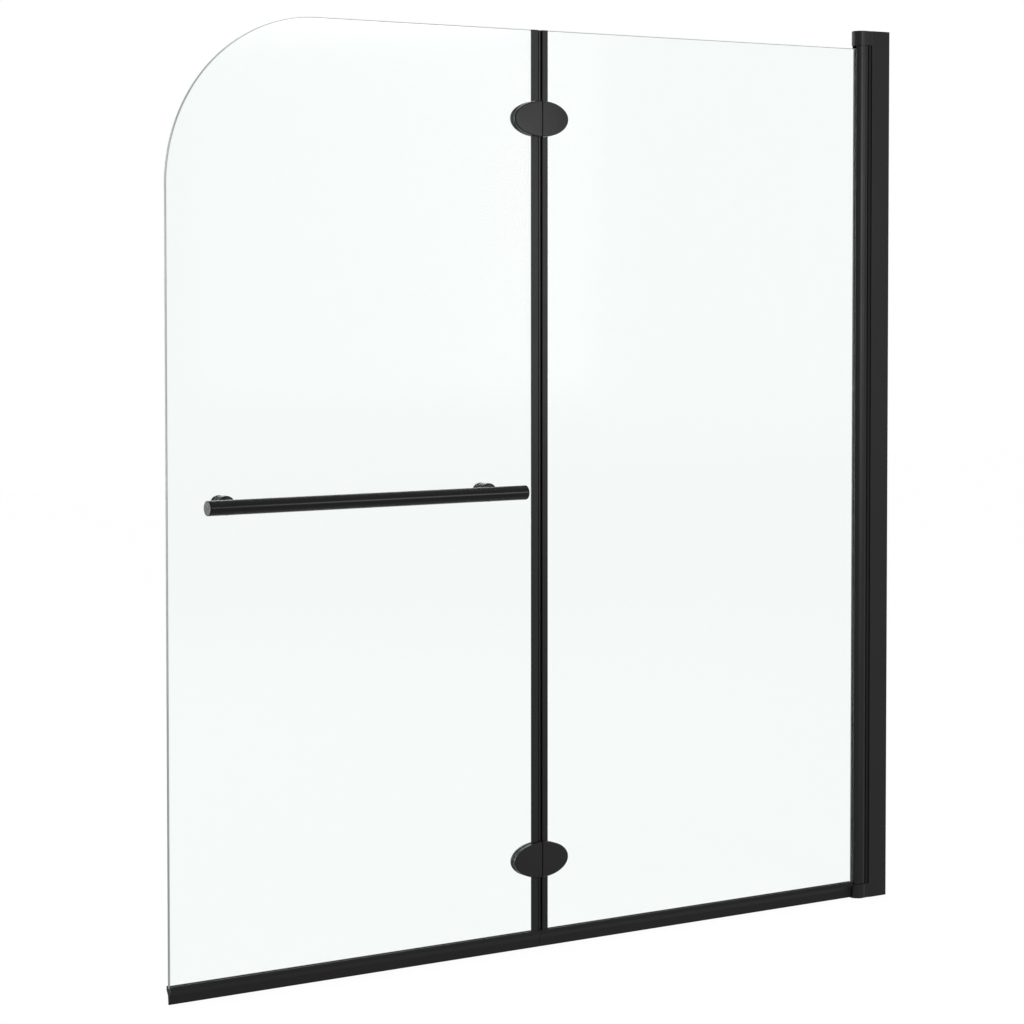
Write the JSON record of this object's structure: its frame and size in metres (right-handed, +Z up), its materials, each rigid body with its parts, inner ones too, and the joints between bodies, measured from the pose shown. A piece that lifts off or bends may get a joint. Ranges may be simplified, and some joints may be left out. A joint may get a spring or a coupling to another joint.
{
  "type": "folding bath screen",
  "caption": "Folding glass bath screen with a black wall channel, pivot column, oval fold hinges, bottom seals and a towel bar.",
  "frame": {"origin": "foot of the wall channel, in the middle of the face that is screwed to the wall", "axes": "+X out of the wall face into the wall, so the screen reaches to -X; -Y towards the room and the towel bar, +Y towards the bath; +Z up"},
  "size_m": [1.3, 0.076, 1.402],
  "materials": {
    "black_powder_coat": "satin",
    "clear_glass": "polished",
    "black_rubber": "matt",
    "black_nylon": "matt",
    "stainless_steel": "turned",
    "black_hinge_metal": "satin",
    "black_bar_metal": "satin"
  },
  "bodies": {
    "root": {"wall_channel": "black_powder_coat", "adjustment_screws": "stainless_steel", "adjustment_nuts": "stainless_steel", "screw_cover_caps": "black_nylon"},
    "pivot_frame": {"expander_profile": "black_powder_coat", "column_wipers": "black_rubber", "bottom_pivot_cap": "black_nylon", "top_pivot_cap": "black_nylon", "bottom_pivot_pin": "stainless_steel", "top_pivot_pin": "stainless_steel", "bottom_cap_screws": "stainless_steel", "top_cap_screws": "stainless_steel", "bottom_thrust_washer": "black_nylon"},
    "inner_leaf": {"pivot_column": "black_powder_coat", "column_gasket": "black_rubber", "bottom_pivot_plug": "black_nylon", "top_pivot_plug": "black_nylon", "inner_glass": "clear_glass", "inner_edge_strip": "black_powder_coat", "inner_bottom_seal": "black_rubber", "upper_hinge_inner_front": "black_hinge_metal", "upper_hinge_inner_rear": "black_hinge_metal", "lower_hinge_inner_front": "black_hinge_metal", "lower_hinge_inner_rear": "black_hinge_metal", "upper_hinge_pin": "stainless_steel", "lower_hinge_pin": "stainless_steel", "hinge_washers": "black_nylon", "inner_hinge_screws": "stainless_steel", "inner_hinge_sleeves": "black_nylon", "inner_hinge_pads": "black_rubber"},
    "outer_leaf": {"outer_glass": "clear_glass", "outer_edge_strip": "black_powder_coat", "fold_seal": "black_rubber", "outer_bottom_seal": "black_rubber", "upper_hinge_outer_front": "black_hinge_metal", "upper_hinge_outer_rear": "black_hinge_metal", "lower_hinge_outer_front": "black_hinge_metal", "lower_hinge_outer_rear": "black_hinge_metal", "outer_hinge_screws": "stainless_steel", "outer_hinge_sleeves": "black_nylon", "outer_hinge_pads": "black_rubber", "towel_bar": "black_bar_metal", "bar_end_plugs": "black_nylon", "left_bar_bracket": "black_bar_metal", "right_bar_bracket": "black_bar_metal", "bar_studs": "stainless_steel", "bar_rear_caps": "black_bar_metal", "bar_pads": "black_rubber", "bar_sleeves": "black_nylon"}
  },
  "joints": [
    {"name": "width_adjust", "type": "slide", "parent": "root", "child": "pivot_frame", "axis": [1, 0, 0], "range_m": [-0.015, 0]},
    {"name": "wall_pivot", "type": "hinge", "parent": "pivot_frame", "child": "inner_leaf", "pos_m": [-0.0502, 0, 0], "axis": [0, 0, 1], "range_deg": [-60, 85]},
    {"name": "leaf_fold", "type": "hinge", "parent": "inner_leaf", "child": "outer_leaf", "pos_m": [-0.6785, 0.011, 0], "axis": [0, 0, -1], "range_deg": [0, 180]}
  ]
}
